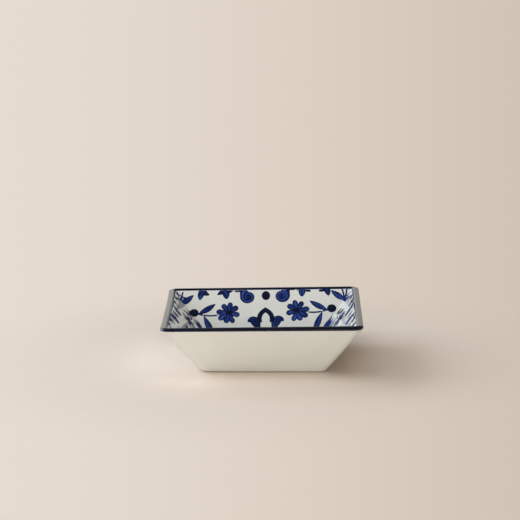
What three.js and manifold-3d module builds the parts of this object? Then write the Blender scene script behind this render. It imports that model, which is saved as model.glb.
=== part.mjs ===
// A small square porcelain dish with four flared walls, a blue band round the lip and a blue print inside.
// The clay is one fired body. The band and each motif of the print are colour fired onto it.
// Millimetres, +Z up. The origin is the middle of the foot, on the table, and the back wall is at +Y.
import * as THREE from "three";
import { mergeVertices } from "three/addons/utils/BufferGeometryUtils.js";
import Module from "manifold-3d";

const wasm = await Module();
wasm.setup();

// Body
const RIM_WIDTH = 120; // across the lip, outside
const BASE_WIDTH = 75.5; // across the foot of the walls, outside, before its edge is rounded
const HEIGHT = 32; // from the table to the top of the lip
const WALL = 3.6; // square to the wall
const FLOOR = 4.5; // from the underside to the inside floor
const RIM_CORNER = 5.5; // plan radius of the outside corners at the lip
const BASE_CORNER = 4; // plan radius of the outside corners at the foot of the walls
const INNER_CORNER = 2; // plan radius of the inside corners
const LIP_RADIUS = 1.2; // rounding of the lip's two edges
const BASE_EDGE_RADIUS = 1; // rounding between the walls and the underside
const FLOOR_FILLET = 6; // rounding between the inside floor and the walls

// Foot ring under the body
const FOOT_HEIGHT = 0.5;
const FOOT_WIDTH = 3.2; // width of the ring that touches the table
const FOOT_INSET = 1; // from where the base's rounded edge ends to the ring's outside

// Blue band round the lip
const BAND_LAP = 0.4; // how far the band laps down the wall below the lip's rounding

// Print, drawn at this size and then scaled as one so that it just fits the wall or the floor
const PRINT_THICKNESS = 0.2;
const PRINT_CLEARANCE = 0.3; // between the print and the clay behind it
const PRINT_MARGIN = 0.3; // bare strip between the print and the ends of the flat wall
const BEAD_WIDTH = 5;
const BEAD_DEPTH = 6.2;
const BEAD_TOP = 2.2; // from the lip's inner edge
const SCROLL_RADIUS = 4.7;
const SCROLL_STROKE = 1.7; // width of the scroll's ribbon
const SCROLL_GAP = 0.7; // between its turns
const SCROLL_TOP = 1; // from the lip's inner edge
const BUD_WIDTH = 8.8;
const BUD_DEPTH = 6.2;
const BUD_TOP = 1.2; // from the lip's inner edge
const BEAD_GAP = 3.6; // bead to scroll
const BUD_GAP = 4.6; // scroll to bud, and bud to bud
const CORNER_LEAF_LENGTH = 6.9;
const CORNER_LEAF_WIDTH = 2.6;
const CORNER_STEM_SPREAD = 1.6; // from straight above the leaf's root to the top of each stem
const CORNER_LEAF_GAP = 1.4; // outer bud to the corner leaf's tip
const CORNER_LEAF_ANGLE = 30; // degrees below level, towards the corner
const PALMETTE_GAP = 5.3; // bead to the palmette's point
const PALMETTE_SPREAD = 11.2; // middle to a wing's tip
const PALMETTE_WINGS = 9; // from the palmette's point down to the wings' tips
const PALMETTE_DEPTH = 15.4; // from the palmette's point to the ends of its legs
const PALMETTE_ARCH = 2.8; // half the width of the open arch
const PALMETTE_LEG = 3.6; // width of each leg
const ROW_GAP = 1.8; // buds to the daisies below them
const DAISY_RADIUS = 7.2;
const DAISY_PETALS = 8;
const DAISY_NOTCH = 0.5; // share of the daisy's radius left between two petals
const DAISY_GAP = 3.6; // palmette's wing to daisy
const STEM_WIDTH = 0.9;
const STEM_REACH = 10.2; // daisy's edge to the berry
const BERRY_RADIUS = 2.4;
const LEAF_LENGTH = 11;
const LEAF_WIDTH = 3.2;
const UPPER_LEAF_ANGLE = 36; // degrees above level, back towards the daisy
const LOWER_LEAF_ANGLE = 112; // degrees below level, measured from the berry's side
const SHOOT_LENGTH = 12; // berry down towards the floor, beside the corner
const SHOOT_WIDTH = 1.6;
const SHOOT_ANGLE = 114; // degrees below level, measured from the berry's side

// Print on the floor
const ROSETTE_RADIUS = 12.5;
const ROSETTE_GAP = 2.5; // rosette to the leaf pairs
const FLOOR_LEAF_LENGTH = 19;
const FLOOR_LEAF_WIDTH = 5.2;
const FLOOR_LEAF_SPREAD = 22; // degrees each side of the diagonal
const FLOOR_BERRY_REACH = 15; // leaf pair's root to its berry

// Facets
const CORNER_STEPS = 6;
const FILLET_STEPS = 4;
const LIP_STEPS = 3;
const PETAL_STEPS = 6;
const CURVE_STEPS = 4;
const SCROLL_STEPS = 14;

// Section of the wall: the outside leans out from the base to the lip's rounding.
// The inside is parallel to it.
const underside = FOOT_HEIGHT;
const floorTop = underside + FLOOR;
const lipRadius = Math.min(LIP_RADIUS, WALL / 2);
const lipCentre = new THREE.Vector2(RIM_WIDTH / 2 - lipRadius, HEIGHT - lipRadius);
const baseEdge = new THREE.Vector2(BASE_WIDTH / 2, underside);
const toLip = lipCentre.clone().sub(baseEdge);
const lean = Math.atan2(toLip.x, toLip.y) + Math.asin(lipRadius / toLip.length());
const outerHalf = (z) => baseEdge.x + (z - baseEdge.y) * Math.tan(lean);
const innerHalf = (z) => outerHalf(z) - WALL / Math.cos(lean);

const rise = (z) => THREE.MathUtils.clamp((z - underside) / (HEIGHT - underside), 0, 1);
const outerCorner = (z) => THREE.MathUtils.lerp(BASE_CORNER, RIM_CORNER, rise(z));

// One level of the dish: half its width, its plan corner radius and its height.
const level = (half, corner, z) => ({ half, corner, z });

function arcLevels(centre, radius, from, to, steps, cornerOf) {
  const levels = [];
  for (let i = 0; i <= steps; i++) {
    const angle = THREE.MathUtils.lerp(from, to, i / steps);
    const half = centre.x + radius * Math.cos(angle);
    const z = centre.y + radius * Math.sin(angle);
    levels.push(level(half, cornerOf(half, z), z));
  }
  return levels;
}

// Points of a rounded square at one level, anticlockwise seen from above.
function ringPoints({ half, corner, z }) {
  const radius = Math.min(corner, half);
  const points = [];
  for (let quarter = 0; quarter < 4; quarter++) {
    const middle = (quarter + 0.5) * (Math.PI / 2);
    const x = Math.sign(Math.cos(middle)) * (half - radius);
    const y = Math.sign(Math.sin(middle)) * (half - radius);
    for (let i = 0; i <= CORNER_STEPS; i++) {
      const angle = (quarter + i / CORNER_STEPS) * (Math.PI / 2);
      points.push(new THREE.Vector3(x + radius * Math.cos(angle), y + radius * Math.sin(angle), z));
    }
  }
  return points;
}

// Closed surface through a list of levels.
// A ring joins its last level to its first, and otherwise both ends are capped.
function loft(levels, isRing) {
  const rings = levels.map(ringPoints);
  const count = rings[0].length;
  const positions = rings.flat().flatMap((p) => p.toArray());
  const index = [];
  const bands = isRing ? rings.length : rings.length - 1;
  for (let k = 0; k < bands; k++) {
    const low = k * count;
    const high = ((k + 1) % rings.length) * count;
    for (let i = 0; i < count; i++) {
      const j = (i + 1) % count;
      index.push(low + i, low + j, high + j, low + i, high + j, high + i);
    }
  }
  if (!isRing) {
    const last = (rings.length - 1) * count;
    for (let i = 1; i < count - 1; i++) {
      index.push(0, i + 1, i);
      index.push(last, last + i, last + i + 1);
    }
  }
  const geometry = new THREE.BufferGeometry();
  geometry.setAttribute("position", new THREE.Float32BufferAttribute(positions, 3));
  geometry.setIndex(index);
  geometry.computeVertexNormals();
  return geometry;
}

// Where the lip's rounding meets the outside of the wall, and the flat seat of the band a little below it.
const lipTangent = lipCentre.y - lipRadius * Math.sin(lean);
const seat = lipTangent - BAND_LAP;

function bodyGeometry() {
  const wallCorner = (half, z) => outerCorner(z);
  const insideCorner = () => INNER_CORNER;
  const edgeCentre = new THREE.Vector2(
    baseEdge.x + BASE_EDGE_RADIUS * (Math.tan(lean) - 1 / Math.cos(lean)),
    underside + BASE_EDGE_RADIUS,
  );
  const filletHeight = floorTop + FLOOR_FILLET;
  const filletCentre = new THREE.Vector2(
    innerHalf(filletHeight) - FLOOR_FILLET / Math.cos(lean),
    filletHeight,
  );
  const footOuter = edgeCentre.x - FOOT_INSET;
  const footInner = footOuter - FOOT_WIDTH;
  return loft([
    level(footInner, BASE_CORNER, underside),
    level(footInner, BASE_CORNER, 0),
    level(footOuter, BASE_CORNER, 0),
    level(footOuter, BASE_CORNER, underside),
    ...arcLevels(edgeCentre, BASE_EDGE_RADIUS, -Math.PI / 2, -lean, FILLET_STEPS, wallCorner),
    level(outerHalf(seat), outerCorner(seat), seat),
    level(innerHalf(seat), INNER_CORNER, seat),
    ...arcLevels(filletCentre, FLOOR_FILLET, -lean, -Math.PI / 2, FILLET_STEPS, insideCorner),
  ]);
}

function bandGeometry() {
  const outside = outerHalf(seat);
  const inside = innerHalf(seat);
  const innerCentre = new THREE.Vector2(innerHalf(lipCentre.y) + lipRadius / Math.cos(lean), lipCentre.y);
  const corner = (half) =>
    THREE.MathUtils.mapLinear(half, inside, RIM_WIDTH / 2, INNER_CORNER, RIM_CORNER);
  return loft(
    [
      level(outside, outerCorner(seat), seat),
      ...arcLevels(lipCentre, lipRadius, -lean, 0, LIP_STEPS, corner),
      ...arcLevels(lipCentre, lipRadius, 0, Math.PI / 2, LIP_STEPS, corner).slice(1),
      ...arcLevels(innerCentre, lipRadius, Math.PI / 2, Math.PI - lean, LIP_STEPS, corner),
      level(inside, INNER_CORNER, seat),
    ],
    true,
  );
}

// Flat outlines of the print. x runs along the wall to the right and y up the wall.
const at = (x, y) => new THREE.Vector2(x, y);
const moved = (points, x, y) => points.map((p) => at(p.x + x, p.y + y));
const mirrored = (points) => points.map((p) => at(-p.x, p.y));
const turned = (points, degrees) =>
  points.map((p) => p.clone().rotateAround(at(0, 0), THREE.MathUtils.degToRad(degrees)));

function rosette(radius, petals, notch) {
  const points = [];
  const count = petals * PETAL_STEPS;
  for (let i = 0; i < count; i++) {
    const angle = (i / count) * 2 * Math.PI;
    const swell = Math.sqrt(Math.abs(Math.cos((petals * angle) / 2)));
    const r = radius * (notch + (1 - notch) * swell);
    points.push(at(r * Math.sin(angle), r * Math.cos(angle)));
  }
  return points;
}

function oval(width, depth) {
  return new THREE.EllipseCurve(0, 0, width / 2, depth / 2).getPoints(4 * CURVE_STEPS).slice(1);
}

// A leaf from its root at the origin to its tip along +x.
function leaf(length, width) {
  const shape = new THREE.Shape();
  shape.moveTo(0, 0);
  shape.quadraticCurveTo(length / 2, -width, length, 0);
  shape.quadraticCurveTo(length / 2, width, 0, 0);
  return shape.getPoints(CURVE_STEPS).slice(1);
}

// A stroke of even width along a curve.
function ribbon(curve, width, steps) {
  const left = [];
  const right = [];
  for (let i = 0; i <= steps; i++) {
    const along = curve.getTangent(i / steps);
    const across = at(-along.y, along.x).multiplyScalar(width / 2);
    const middle = curve.getPoint(i / steps);
    left.push(middle.clone().add(across));
    right.push(middle.clone().sub(across));
  }
  return [...left, ...right.reverse()];
}

// A scroll's middle line: from its outer side down, round and in to its middle.
class Spiral extends THREE.Curve {
  getPoint(share, target = new THREE.Vector2()) {
    const outer = SCROLL_RADIUS - SCROLL_STROKE / 2;
    const inner = SCROLL_STROKE / 2;
    const turns = (outer - inner) / (SCROLL_STROKE + SCROLL_GAP);
    const radius = THREE.MathUtils.lerp(outer, inner, share);
    const angle = -share * turns * 2 * Math.PI;
    return target.set(radius * Math.cos(angle), radius * Math.sin(angle));
  }
}

// A bud hanging from the lip: a long lobe towards -x and a short one curled towards +x.
function bud(width, depth) {
  const half = width / 2;
  const shape = new THREE.Shape();
  shape.moveTo(-half * 0.8, 0);
  shape.quadraticCurveTo(-half * 0.9, -depth * 0.5, -half * 0.4, -depth);
  shape.quadraticCurveTo(half * 0.1, -depth * 0.8, half * 0.1, -depth * 0.55);
  shape.quadraticCurveTo(half * 0.6, -depth * 0.8, half, -depth * 0.6);
  shape.quadraticCurveTo(half * 0.45, -depth * 0.4, half * 0.6, 0);
  return shape.getPoints(CURVE_STEPS);
}

// A bell with two curled wings and an open arch between its legs. Its point is at the origin.
function palmette() {
  const leg = PALMETTE_ARCH + PALMETTE_LEG;
  const shoulder = PALMETTE_WINGS * 0.62;
  const archTop = PALMETTE_LEG;
  const shape = new THREE.Shape();
  shape.moveTo(0, 0);
  shape.quadraticCurveTo(leg * 0.8, -shoulder * 0.35, leg, -shoulder);
  shape.quadraticCurveTo(PALMETTE_SPREAD * 0.85, -shoulder * 0.9, PALMETTE_SPREAD, -PALMETTE_WINGS);
  shape.quadraticCurveTo(leg * 1.1, -PALMETTE_WINGS, leg, -PALMETTE_DEPTH);
  shape.lineTo(PALMETTE_ARCH, -PALMETTE_DEPTH);
  shape.lineTo(PALMETTE_ARCH, -archTop - PALMETTE_ARCH);
  shape.quadraticCurveTo(PALMETTE_ARCH, -archTop, 0, -archTop);
  shape.quadraticCurveTo(-PALMETTE_ARCH, -archTop, -PALMETTE_ARCH, -archTop - PALMETTE_ARCH);
  shape.lineTo(-PALMETTE_ARCH, -PALMETTE_DEPTH);
  shape.lineTo(-leg, -PALMETTE_DEPTH);
  shape.quadraticCurveTo(-leg * 1.1, -PALMETTE_WINGS, -PALMETTE_SPREAD, -PALMETTE_WINGS);
  shape.quadraticCurveTo(-PALMETTE_SPREAD * 0.85, -shoulder * 0.9, -leg, -shoulder);
  shape.quadraticCurveTo(-leg * 0.8, -shoulder * 0.35, 0, 0);
  return shape.getPoints(CURVE_STEPS).slice(1);
}

// Layout of one wall, from the middle of the lip's inner edge.
// Each place follows from its neighbours and the gaps.
const scrollAcross = BEAD_WIDTH / 2 + BEAD_GAP + SCROLL_RADIUS;
const innerBudAcross = scrollAcross + SCROLL_RADIUS + BUD_GAP + BUD_WIDTH / 2;
const outerBudAcross = innerBudAcross + BUD_WIDTH + BUD_GAP;
const cornerLeafTip = at(outerBudAcross + BUD_WIDTH / 2 + CORNER_LEAF_GAP, -BUD_TOP - BUD_DEPTH / 2);
const daisyPlace = at(
  PALMETTE_SPREAD + DAISY_GAP + DAISY_RADIUS,
  -(BUD_TOP + BUD_DEPTH + ROW_GAP + DAISY_RADIUS),
);
const berryPlace = at(daisyPlace.x + DAISY_RADIUS + STEM_REACH + BERRY_RADIUS, daisyPlace.y);

// A daisy, its stem with two leaves, the berry at the stem's end and the shoot below the berry.
function flowerOutlines() {
  const root = at(berryPlace.x - BERRY_RADIUS - STEM_WIDTH, berryPlace.y - STEM_WIDTH);
  const bend = at((daisyPlace.x + berryPlace.x) / 2, berryPlace.y - 2 * STEM_WIDTH);
  const stem = new THREE.QuadraticBezierCurve(daisyPlace.clone(), bend, berryPlace.clone());
  return [
    moved(rosette(DAISY_RADIUS, DAISY_PETALS, DAISY_NOTCH), daisyPlace.x, daisyPlace.y),
    ribbon(stem, STEM_WIDTH, CURVE_STEPS),
    moved(turned(leaf(LEAF_LENGTH, LEAF_WIDTH), 180 - UPPER_LEAF_ANGLE), root.x, root.y),
    moved(turned(leaf(LEAF_LENGTH, LEAF_WIDTH), -LOWER_LEAF_ANGLE), root.x, root.y),
    moved(oval(2 * BERRY_RADIUS, 2 * BERRY_RADIUS), berryPlace.x, berryPlace.y),
    moved(turned(leaf(SHOOT_LENGTH, SHOOT_WIDTH), -SHOOT_ANGLE), berryPlace.x, berryPlace.y),
  ];
}

// A scroll and the tail that joins its outer side to the lip.
function scrollOutlines() {
  const middle = -SCROLL_TOP - SCROLL_RADIUS;
  const outside = scrollAcross + SCROLL_RADIUS - SCROLL_STROKE / 2;
  const tail = new THREE.LineCurve(at(outside, middle), at(outside, -SCROLL_TOP));
  return [
    moved(ribbon(new Spiral(), SCROLL_STROKE, SCROLL_STEPS), scrollAcross, middle),
    ribbon(tail, SCROLL_STROKE, 1),
  ];
}

// A leaf beside the corner, with two stems from its root up to the lip.
function cornerLeafOutlines() {
  const fall = THREE.MathUtils.degToRad(-CORNER_LEAF_ANGLE);
  const root = at(Math.cos(fall), Math.sin(fall)).multiplyScalar(CORNER_LEAF_LENGTH).add(cornerLeafTip);
  const stemTops = [at(root.x - CORNER_STEM_SPREAD, -BUD_TOP), at(root.x + CORNER_STEM_SPREAD, -BUD_TOP)];
  const blade = turned(leaf(CORNER_LEAF_LENGTH, CORNER_LEAF_WIDTH), -CORNER_LEAF_ANGLE);
  return [
    moved(blade, cornerLeafTip.x, cornerLeafTip.y),
    ...stemTops.map((top) => ribbon(new THREE.LineCurve(root.clone(), top), STEM_WIDTH, 1)),
  ];
}

// Every motif of one wall: its name and the outlines that make it up.
function wallMotifs() {
  const right = {
    flower: flowerOutlines(),
    scroll: scrollOutlines(),
    inner_bud: [moved(bud(BUD_WIDTH, BUD_DEPTH), innerBudAcross, -BUD_TOP)],
    outer_bud: [moved(mirrored(bud(BUD_WIDTH, BUD_DEPTH)), outerBudAcross, -BUD_TOP)],
    corner_leaf: cornerLeafOutlines(),
  };
  const motifs = {
    bead: [moved(oval(BEAD_WIDTH, BEAD_DEPTH), 0, -BEAD_TOP - BEAD_DEPTH / 2)],
    palmette: [moved(palmette(), 0, -(BEAD_TOP + BEAD_DEPTH + PALMETTE_GAP))],
  };
  for (const [name, outlines] of Object.entries(right)) {
    motifs[`right_${name}`] = outlines;
    motifs[`left_${name}`] = outlines.map(mirrored);
  }
  return motifs;
}

// Every motif of the floor, from its middle.
function floorMotifs() {
  const root = ROSETTE_RADIUS + ROSETTE_GAP;
  const pair = [
    moved(turned(leaf(FLOOR_LEAF_LENGTH, FLOOR_LEAF_WIDTH), FLOOR_LEAF_SPREAD), root, 0),
    moved(turned(leaf(FLOOR_LEAF_LENGTH, FLOOR_LEAF_WIDTH), -FLOOR_LEAF_SPREAD), root, 0),
    ribbon(new THREE.LineCurve(at(root, 0), at(root + FLOOR_BERRY_REACH, 0)), STEM_WIDTH, 1),
    moved(oval(2 * BERRY_RADIUS, 2 * BERRY_RADIUS), root + FLOOR_BERRY_REACH, 0),
  ];
  const motifs = { rosette: [rosette(ROSETTE_RADIUS, DAISY_PETALS, DAISY_NOTCH)] };
  ["back_right", "back_left", "front_left", "front_right"].forEach((place, quarter) => {
    motifs[`${place}_leaves`] = pair.map((outline) => turned(outline, 45 + 90 * quarter));
  });
  return motifs;
}

// The largest scale at which every point of the wall's print stays on the flat part of the wall.
const wallRoom = innerHalf(HEIGHT) - INNER_CORNER - PRINT_MARGIN;
const wallFall = (HEIGHT - floorTop - FLOOR_FILLET * (1 - Math.sin(lean))) / Math.cos(lean) - PRINT_MARGIN;
function wallScale(motifs) {
  const points = Object.values(motifs).flat(2);
  return Math.min(
    ...points.map((p) => wallRoom / (Math.abs(p.x) - p.y * Math.sin(lean))),
    ...points.map((p) => wallFall / -p.y),
  );
}

const filletReach = FLOOR_FILLET * Math.tan((Math.PI / 2 - lean) / 2);
const floorRoom = innerHalf(floorTop) - filletReach - INNER_CORNER - PRINT_MARGIN;
function floorScale(motifs) {
  const points = Object.values(motifs).flat(2);
  return Math.min(...points.map((p) => floorRoom / Math.max(Math.abs(p.x), Math.abs(p.y))));
}

function solidOf(geometry) {
  geometry.deleteAttribute("normal");
  geometry.deleteAttribute("uv");
  const merged = mergeVertices(geometry);
  return new wasm.Manifold(
    new wasm.Mesh({
      numProp: 3,
      vertProperties: merged.attributes.position.array,
      triVerts: new Uint32Array(merged.index.array),
    }),
  );
}

function geometryOf(solid) {
  const { vertProperties, triVerts } = solid.getMesh();
  const geometry = new THREE.BufferGeometry();
  geometry.setAttribute("position", new THREE.BufferAttribute(vertProperties, 3));
  geometry.setIndex(new THREE.BufferAttribute(triVerts, 1));
  geometry.computeVertexNormals();
  return geometry;
}

// One motif as a thin slab: its scaled outlines extruded and joined.
function motifGeometry(outlines, scale) {
  const slabs = outlines.map((outline) => {
    const shape = new THREE.Shape(outline.map((p) => p.clone().multiplyScalar(scale)));
    return new THREE.ExtrudeGeometry(shape, { depth: PRINT_THICKNESS, bevelEnabled: false });
  });
  return geometryOf(slabs.map(solidOf).reduce((joined, slab) => joined.add(slab)));
}

const glazedPorcelain = new THREE.MeshStandardMaterial({ color: 0xe6e2d8, roughness: 0.18, metalness: 0 });
const bandBlue = new THREE.MeshStandardMaterial({ color: 0x10142a, roughness: 0.16, metalness: 0 });
const printBlue = new THREE.MeshStandardMaterial({ color: 0x24357f, roughness: 0.2, metalness: 0 });

function piece(name, geometry, material) {
  const mesh = new THREE.Mesh(geometry, material.clone());
  mesh.name = name;
  return mesh;
}

function printGroup(place, motifs, scale) {
  const group = new THREE.Group();
  for (const [name, outlines] of Object.entries(motifs)) {
    group.add(piece(`${place}_${name}`, motifGeometry(outlines, scale), printBlue));
  }
  return group;
}

// The print of one wall, turned into the wall's plane and carried round to its side of the dish.
function wallPrint(place, quarterTurns) {
  const motifs = wallMotifs();
  const print = printGroup(place, motifs, wallScale(motifs));
  print.position.set(
    0,
    innerHalf(HEIGHT) - PRINT_CLEARANCE * Math.cos(lean),
    HEIGHT + PRINT_CLEARANCE * Math.sin(lean),
  );
  print.rotation.x = Math.PI / 2 - lean;
  const side = new THREE.Group();
  side.rotation.z = (quarterTurns * Math.PI) / 2;
  side.add(print);
  return side;
}

function floorPrint() {
  const motifs = floorMotifs();
  const print = printGroup("floor", motifs, floorScale(motifs));
  print.position.z = floorTop + PRINT_CLEARANCE;
  return print;
}

const dish = new THREE.Group();
dish.add(piece("porcelain_body", bodyGeometry(), glazedPorcelain));
dish.add(piece("rim_band", bandGeometry(), bandBlue));
["back", "left", "front", "right"].forEach((place, turns) => dish.add(wallPrint(place, turns)));
dish.add(floorPrint());

export default dish;
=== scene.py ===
"""Looks of a small square porcelain dish: glazed clay, a dark blue lip and a brushed blue print inside."""
import math
from collections import namedtuple

import bpy
import numpy as np
from mathutils import Matrix, Vector


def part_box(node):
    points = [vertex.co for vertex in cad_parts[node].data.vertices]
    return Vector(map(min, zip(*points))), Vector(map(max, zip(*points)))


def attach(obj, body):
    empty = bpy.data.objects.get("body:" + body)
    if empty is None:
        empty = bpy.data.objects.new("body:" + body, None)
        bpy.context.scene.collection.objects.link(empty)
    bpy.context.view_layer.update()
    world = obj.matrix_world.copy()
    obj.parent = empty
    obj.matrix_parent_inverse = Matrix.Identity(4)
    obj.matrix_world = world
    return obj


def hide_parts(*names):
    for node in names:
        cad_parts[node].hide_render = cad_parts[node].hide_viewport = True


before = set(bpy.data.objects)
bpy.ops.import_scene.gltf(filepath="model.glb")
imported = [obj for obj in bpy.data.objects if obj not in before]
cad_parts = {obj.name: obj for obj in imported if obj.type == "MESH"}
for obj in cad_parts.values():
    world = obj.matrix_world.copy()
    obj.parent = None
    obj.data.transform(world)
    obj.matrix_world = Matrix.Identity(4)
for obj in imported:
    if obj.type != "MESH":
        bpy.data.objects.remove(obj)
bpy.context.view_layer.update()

# Lengths are in millimetres and angles in degrees, and meshes are written in metres
MM = 0.001

# Clay
BASE_WIDTH = 75.5
WALL = 3.6
FLOOR = 4.5
RIM_CORNER = 5.5
BASE_CORNER = 4.0
INNER_CORNER = 2.0
LIP_RADIUS = 1.0
LIP_TILT = 0.45
BASE_EDGE_RADIUS = 1.0
FLOOR_FILLET = 6.0
FILLET_RUN = 12.0  # straight run of wall and of floor beside the fillet's corner
FOOT_HEIGHT = 0.5
FOOT_WIDTH = 3.2
FOOT_INSET = 1.0
FOOT_EDGE = 0.2
FOOT_ROOT = 0.2
CAP_HALF = 0.5  # half width of the small caps that close the skin in the middle
PLAN_SHARE = 0.9  # largest corner radius seen from above, as a share of the half width

# How far the fired dish is out of true
SLUMP = 0.75  # rise of the right side, and fall of the left
FRONT_RISE = 0.18  # rise of the front
SWAY = 0.7  # how far the base stands to the right
SPREAD = 1.05  # how far the back left corner leans out

# Lip colour
BAND_OUTER_DROP = 2.4
BAND_WANDER = 0.65  # how much less far down it is painted at the left
BAND_INNER_DROP = 1.3
BAND_SKIN = 0.02  # how far it stands off the clay
BAND_ROOT = 0.06  # how far it reaches into the clay
BAND_BLEED = 0.8  # width over which its painted edges thin out

# Glaze
GLAZE_IOR = 1.5
GLAZE_RELIEF = 0.05  # height of its swells

# Print on each wall, measured from the middle of the lip's inner edge
COAT = 0.012  # half the thickness of a stroke
COAT_LAYER = 0.008  # rise of a stroke over those of the layer under it
HOVER = 6.0  # height from which strokes are laid on the clay
CORNER_SPARE = 2.2  # how far strokes may run past the side of a wall
LIP_LINE = 0.75  # how far below the lip strokes are cut off
STROKE_LEAST = 0.03  # half width that a stroke keeps at its ends
SEED_STEP = 0.618  # from one stroke's brush marks to the next one's
BEAD_WIDTH = 5.1
BEAD_DEPTH = 6.3
BEAD_TOP = 2.45
BEAD_ASIDE = 0.65
SCROLL_PLACE = (11.1, -5.95)
SCROLL_RADIUS = 4.75
SCROLL_RIBBON = 2.8
SCROLL_MOUTH = 7.2
SCROLL_TURNS = 1.25
SCROLL_TAIL = 0.16  # share of the ribbon that hangs straight from the lip
INNER_BUD = 24.6
OUTER_BUD = 38.2
BUD_TIP = 7.2
BUD_DRIFT = 0.7  # share of the middle's drift that the buds follow
CORNER_LEAF_TIP = (43.7, -3.4)
CORNER_LEAF_LENGTH = 10.8
CORNER_LEAF_WIDTH = 3.8
CORNER_LEAF_ANGLE = 40.0
CORNER_STEM_REACHES = (-1.6, 2.2)
CORNER_STEM_BEND = 0.7
CORNER_STEM_WIDTH = 1.0
PALMETTE_POINT = 13.8
PALMETTE_BAR = 2.84
PALMETTE_ARCH = 2.28
PALMETTE_STEP = 3.75
PALMETTE_SPREAD = 11.4
PALMETTE_DEPTH = 15.8
DAISY_PLACE = (21.9, -16.9)
DAISY_RADIUS = 7.45
PETAL_ANGLES = (9.0, 61.0, 103.0, 145.0, 193.0, 246.0, 285.0, 326.0)
PETAL_SHARE = 0.235  # half width of a petal, and like the next three a share of the flower's radius
PETAL_START = 0.18
EYE_SHARE = 0.28
WASH_SHARE = 0.52
BERRY_PLACE = (43.7, -16.1)
BERRY_RADIUS = 2.8
STEM_WIDTH = 1.05
LEAF_LENGTH = 12.8
LEAF_WIDTH = 3.6
UPPER_LEAF_ANGLE = 31.3
LOWER_LEAF_LENGTH = 15.5
LOWER_LEAF_WIDTH = 3.7
LOWER_LEAF_ANGLE = 113.0
SHOOT_LENGTH = 14.9
SHOOT_ANGLE = 114.0

# Print on the floor
ROSETTE_RADIUS = 12.5
ROSETTE_GAP = 2.5
FLOOR_LEAF_LENGTH = 19.0
FLOOR_LEAF_WIDTH = 5.2
FLOOR_LEAF_SPREAD = 22.0
FLOOR_BERRY_REACH = 15.0

# Fineness of the meshes
CORNER_STEPS = 14
SIDE_STEPS = 24
ARC_STEPS = 10
LIP_STEPS = 56
RUN_LENGTH = 1.8
STROKE_STEPS = 16
SCROLL_STEPS = 56
STROKE_SIDES = 12

# Stage: half the paper's width, and where it goes over into the backdrop, in metres
PAPER_HALF = 4.0
PAPER_NEAR = 0.075
PAPER_FAR = 0.22

# Room that gloss mirrors, and backdrop: their colours, and where one goes over into the next, in shares of a
# direction's length across and upwards
ROOM_FRONT = (0.12, 0.12, 0.13, 1.0)
ROOM_LEFT = (0.97, 0.97, 0.90, 1.0)
ROOM_RIGHT = (0.56, 0.56, 0.53, 1.0)
# The backdrop's colour is painted lighter on the left and darker on the right: painted light falloff from
# lamps at the left
BACKDROP_LIT_LEFT = (0.79, 0.71, 0.625, 1.0)
BACKDROP_SHADED_RIGHT = (0.59, 0.50, 0.415, 1.0)
ACROSS_SPAN = (-0.15, 0.22)
UPWARD_SPAN = (0.40, 0.26)

# Camera at the photograph's angle
FRAME_PIXELS = 520
FOCAL_PIXELS = 2242.0
SENSOR = 36.0
CAMERA_PITCH = 11.111
CAMERA_YAW = 0.93
CAMERA_ROLL = 0.175
CAMERA_DISTANCE = 1368.5
CAMERA_REACH = 20000.0
TARGET_ACROSS = -1.73
TARGET_HEIGHT = 61.145


# Section of the dish

def node_box(node):
    """Lowest and highest corner of a solid, in millimetres."""
    low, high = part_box(node)
    return low / MM, high / MM


HEIGHT = node_box("rim_band")[1].z
body_high = node_box("porcelain_body")[1]
LEAN = math.atan((body_high.x - BASE_WIDTH / 2) / (body_high.z - FOOT_HEIGHT))
FLOOR_TOP = FOOT_HEIGHT + FLOOR


def outer_half(height):
    """Half the dish's width outside its walls at a height."""
    return BASE_WIDTH / 2 + (height - FOOT_HEIGHT) * math.tan(LEAN)


def inner_half(height):
    """Half the dish's width inside its walls at a height."""
    return outer_half(height) - WALL / math.cos(LEAN)


# A corner of a section: half width, height, rounding, corner radius seen from above, and two masks
Corner = namedtuple("Corner", "half height rounding plan first second")


def arc_rows(before, corner, after):
    """Rows of a section round one corner, tangent to the runs on both sides of it."""
    here = np.array(corner[:2])
    to_before = np.array(before[:2]) - here
    to_after = np.array(after[:2]) - here
    to_before = to_before / np.linalg.norm(to_before)
    to_after = to_after / np.linalg.norm(to_after)
    opening = math.acos(np.clip(to_before @ to_after, -1.0, 1.0)) / 2
    if corner.rounding == 0:
        return [np.array([*here, *corner[3:]])]
    reach = corner.rounding / math.tan(opening)
    bisector = (to_before + to_after) / np.linalg.norm(to_before + to_after)
    centre = here + bisector * corner.rounding / math.sin(opening)
    start = here + to_before * reach - centre
    end = here + to_after * reach - centre
    sweep = math.pi - 2 * opening
    rows = []
    for share in np.linspace(0.0, 1.0, ARC_STEPS + 1):
        place = (math.sin((1 - share) * sweep) * start + math.sin(share * sweep) * end) / math.sin(sweep)
        rows.append(np.array([*(centre + place), *corner[3:]]))
    return rows


def section_rows(corners):
    """Rows of half width, height, plan radius and two masks along a section with rounded corners."""
    rows = [np.array([*corners[0][:2], *corners[0][3:]])]
    for before, corner, after in zip(corners, corners[1:], corners[2:]):
        rows += arc_rows(before, corner, after)
    rows.append(np.array([*corners[-1][:2], *corners[-1][3:]]))
    filled = [rows[0]]
    for start, end in zip(rows, rows[1:]):
        pieces = max(1, math.ceil(np.hypot(*(end - start)[:2]) / RUN_LENGTH))
        filled += [start + (end - start) * k / pieces for k in range(1, pieces + 1)]
    return np.array(filled)


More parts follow.
